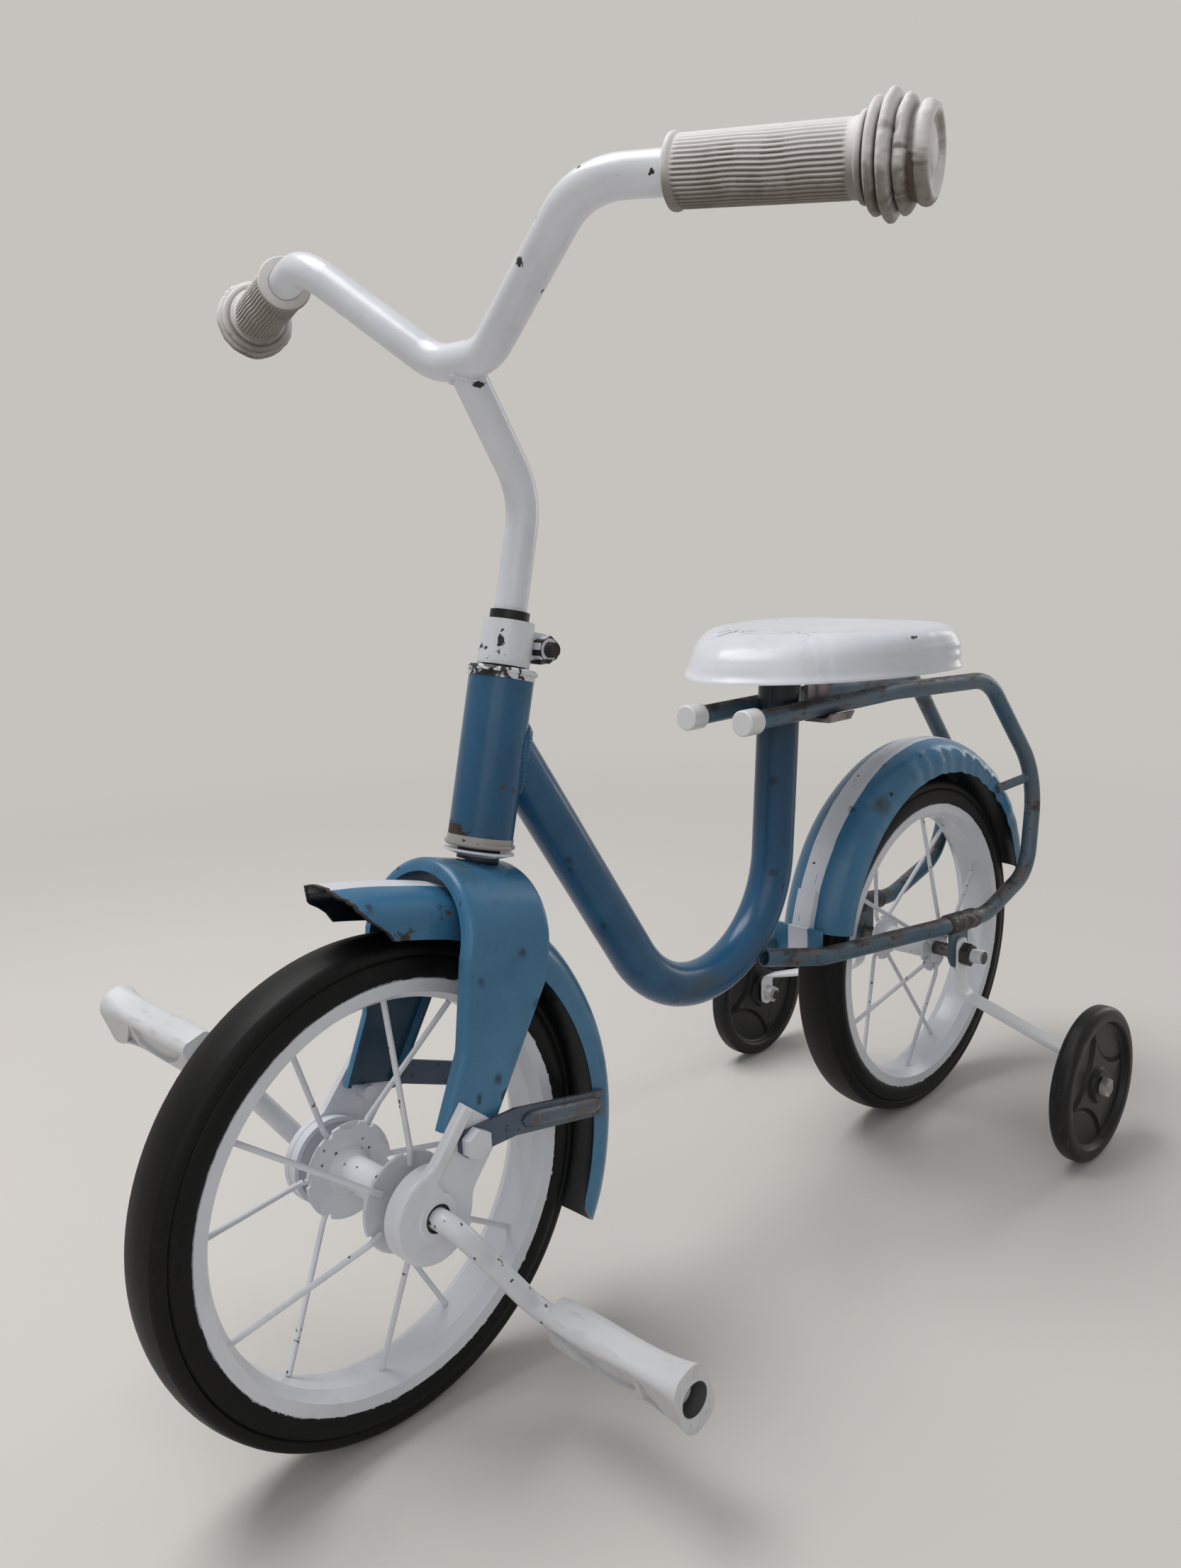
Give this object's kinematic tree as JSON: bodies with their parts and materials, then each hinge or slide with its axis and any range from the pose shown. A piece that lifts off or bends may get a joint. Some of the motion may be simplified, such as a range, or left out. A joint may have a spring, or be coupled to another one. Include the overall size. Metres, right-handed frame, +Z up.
{
  "type": "child's front-pedal bicycle with stabiliser wheels",
  "caption": "Small child's bicycle pedalled at the front wheel, with a steered strap fork, rising handlebar, fenders, pressed seat and outrigger stabiliser wheels.",
  "frame": {"origin": "on the floor, under the middle of the whole bicycle", "axes": "+Z up, -Y forward (the way the rider faces), +X to the rider's left"},
  "size_m": [0.4834, 0.765, 0.5948],
  "materials": {
    "blue_paint": "satin, chipped and worn",
    "worn_blue": "worn, scratched paint over steel",
    "white_paint": "gloss, brushed on",
    "seat_paint": "gloss enamel, chipped",
    "tyre": "satin",
    "grip_rubber": "matt, soiled",
    "black_plastic": "satin moulded",
    "white_plastic": "satin moulded",
    "pedal_plastic": "satin moulded, scuffed",
    "steel": "dull, tarnished",
    "rusty_steel": "rusted"
  },
  "bodies": {
    "frame": {"main_tube": "blue_paint", "head_tube": "blue_paint", "lower_cup": "steel", "upper_cup": "steel", "side_loop_left": "worn_blue", "side_loop_right": "worn_blue", "rail_cap_left": "white_plastic", "rail_cap_right": "white_plastic", "rear_fender": "blue_paint", "fender_bridge": "worn_blue", "seat_shell": "seat_paint", "seat_bracket": "steel", "rear_axle": "steel", "axle_nut_left": "rusty_steel", "axle_nut_right": "rusty_steel", "stabiliser_arm_left": "white_paint", "stabiliser_arm_right": "white_paint", "stabiliser_bolt_left": "steel", "stabiliser_bolt_right": "steel"},
    "steering": {"fork": "blue_paint", "steerer": "rusty_steel", "fork_washer": "white_paint", "collar": "black_plastic", "stem_clamp": "white_paint", "clamp_bolt": "rusty_steel", "stem": "white_paint", "handlebar": "white_paint", "grip_left": "grip_rubber", "grip_right": "grip_rubber", "fork_end_left": "white_paint", "fork_end_right": "white_paint", "fork_bush_left": "black_plastic", "fork_bush_right": "black_plastic", "fork_bolt_left": "white_paint", "fork_bolt_right": "white_paint", "front_fender": "blue_paint", "fender_stay_left": "rusty_steel", "fender_stay_right": "rusty_steel", "crown_bolt": "rusty_steel"},
    "front_wheel": {"front_tyre": "tyre", "front_rim": "white_paint", "front_hub": "white_paint", "front_spokes": "white_paint", "crank": "white_paint"},
    "pedal_left": {"pedal_block_left": "pedal_plastic"},
    "pedal_right": {"pedal_block_right": "pedal_plastic"},
    "rear_wheel": {"rear_tyre": "tyre", "rear_rim": "white_paint", "rear_hub": "white_paint", "rear_spokes": "white_paint"},
    "stabiliser_left": {"stabiliser_wheel_left": "black_plastic"},
    "stabiliser_right": {"stabiliser_wheel_right": "black_plastic"}
  },
  "joints": [
    {"name": "steering_turn", "type": "hinge", "parent": "frame", "child": "steering", "pos_m": [0, -0.17815, 0.28699], "axis": [0, 0.2351, 0.972], "range_deg": [-60, 60]},
    {"name": "front_wheel_spin", "type": "hinge", "parent": "steering", "child": "front_wheel", "pos_m": [0, -0.25554, 0.127], "axis": [1, 0, 0], "continuous": true},
    {"name": "pedal_left_spin", "type": "hinge", "parent": "front_wheel", "child": "pedal_left", "pos_m": [0.1, -0.21145, 0.06632], "axis": [1, 0, 0], "continuous": true},
    {"name": "pedal_right_spin", "type": "hinge", "parent": "front_wheel", "child": "pedal_right", "pos_m": [-0.1, -0.29962, 0.18768], "axis": [1, 0, 0], "continuous": true},
    {"name": "rear_wheel_spin", "type": "hinge", "parent": "frame", "child": "rear_wheel", "pos_m": [0, 0.23776, 0.127], "axis": [1, 0, 0], "continuous": true},
    {"name": "stabiliser_left_spin", "type": "hinge", "parent": "frame", "child": "stabiliser_left", "pos_m": [0.1448, 0.23776, 0.0544], "axis": [1, 0, 0], "continuous": true},
    {"name": "stabiliser_right_spin", "type": "hinge", "parent": "frame", "child": "stabiliser_right", "pos_m": [-0.1448, 0.23776, 0.0544], "axis": [1, 0, 0], "continuous": true}
  ]
}
